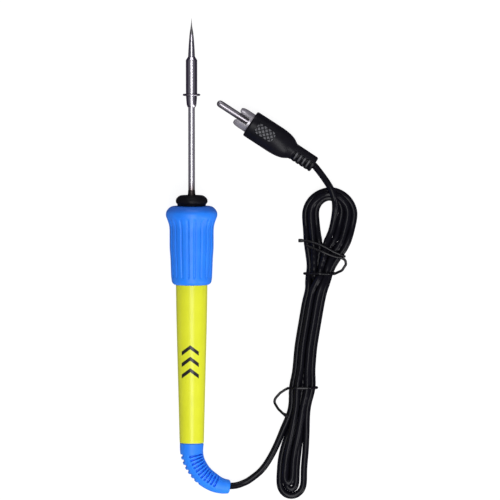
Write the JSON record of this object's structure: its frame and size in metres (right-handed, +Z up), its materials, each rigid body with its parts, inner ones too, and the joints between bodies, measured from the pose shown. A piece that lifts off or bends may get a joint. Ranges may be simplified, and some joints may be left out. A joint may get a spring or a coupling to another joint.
{
  "type": "soldering iron",
  "caption": "Slim low-voltage pencil soldering iron with a slide-on bit, fluted grip, hollow handle, bent cord boot and a short lead tied in a hank with a phono plug.",
  "frame": {"origin": "centre of the iron's footprint, on the table it lies on, with the cord, its boot, its ties and its plug left out", "axes": "+Y along the iron towards the bit, +X towards the cord, +Z up from the table; the iron's own axis rises 3.4 degrees towards the bit, because it rests on its flange and its rear edge"},
  "size_m": [0.0873, 0.218, 0.0235],
  "materials": {
    "yellow_plastic": "glossy injection-moulded yellow plastic",
    "blue_grip": "satin blue moulded grip plastic",
    "mica": "pressed mica, matt",
    "heated_steel": "steel darkened by heat",
    "shaft_steel": "polished stainless tube",
    "ceramic": "unglazed alumina",
    "nichrome": "oxidised nichrome wire",
    "nickel_wire": "nickel wire",
    "brass": "plain brass",
    "glass_sleeving": "varnished glass-fibre sleeving",
    "copper": "bare stranded copper",
    "core_plastic": "red and black core insulation",
    "zinc_steel": "zinc-plated steel",
    "cord_plastic": "black flexible PVC",
    "blue_boot": "blue flexible moulded plastic",
    "tie_plastic": "black plastic-coated wire",
    "plug_plastic": "black moulded PVC",
    "plug_white": "white moulded plastic",
    "nickel": "bright nickel plate",
    "fibre": "hard fibre",
    "collar_black": "black heat-resistant moulding",
    "clip_steel": "bright spring steel",
    "bit_plate": "iron-plated, chrome-finished copper"
  },
  "bodies": {
    "root": {"handle": "yellow_plastic", "front_grip": "blue_grip", "back_washer": "mica", "shaft_ferrule": "heated_steel", "heater_shaft": "shaft_steel", "coil_former": "ceramic", "heating_coil": "nichrome", "coil_sleeve": "ceramic", "lead_insulator": "ceramic", "element_leads": "nickel_wire", "crimp_barrels": "brass", "splice_sleeves": "glass_sleeving", "cord_cores": "copper", "core_insulation": "core_plastic", "cord_clamp": "zinc_steel", "cord_inner": "cord_plastic", "cord_boot": "blue_boot", "cord_tail": "cord_plastic", "cord_hank": "cord_plastic", "cord_plug_lead": "cord_plastic", "tie_upper": "tie_plastic", "tie_lower": "tie_plastic", "plug_body": "plug_plastic", "plug_insulator": "plug_white", "plug_shell": "nickel", "plug_pin": "nickel", "plug_cores": "copper", "collar_washer": "fibre"},
    "collar": {"nose_collar": "collar_black"},
    "bit_carrier": {"bit_clip": "clip_steel"},
    "bit": {"bit": "bit_plate"}
  },
  "joints": [
    {"name": "collar_slide", "type": "slide", "parent": "root", "child": "collar", "axis": [0, 0.9982, 0.0596], "range_m": [0, 0.012]},
    {"name": "bit_slide", "type": "slide", "parent": "root", "child": "bit_carrier", "axis": [0, 0.9982, 0.0596], "range_m": [0, 0.02]},
    {"name": "bit_turn", "type": "hinge", "parent": "bit_carrier", "child": "bit", "pos_m": [0, 0.06335, 0.01503], "axis": [0, 0.9982, 0.0596], "continuous": true}
  ]
}
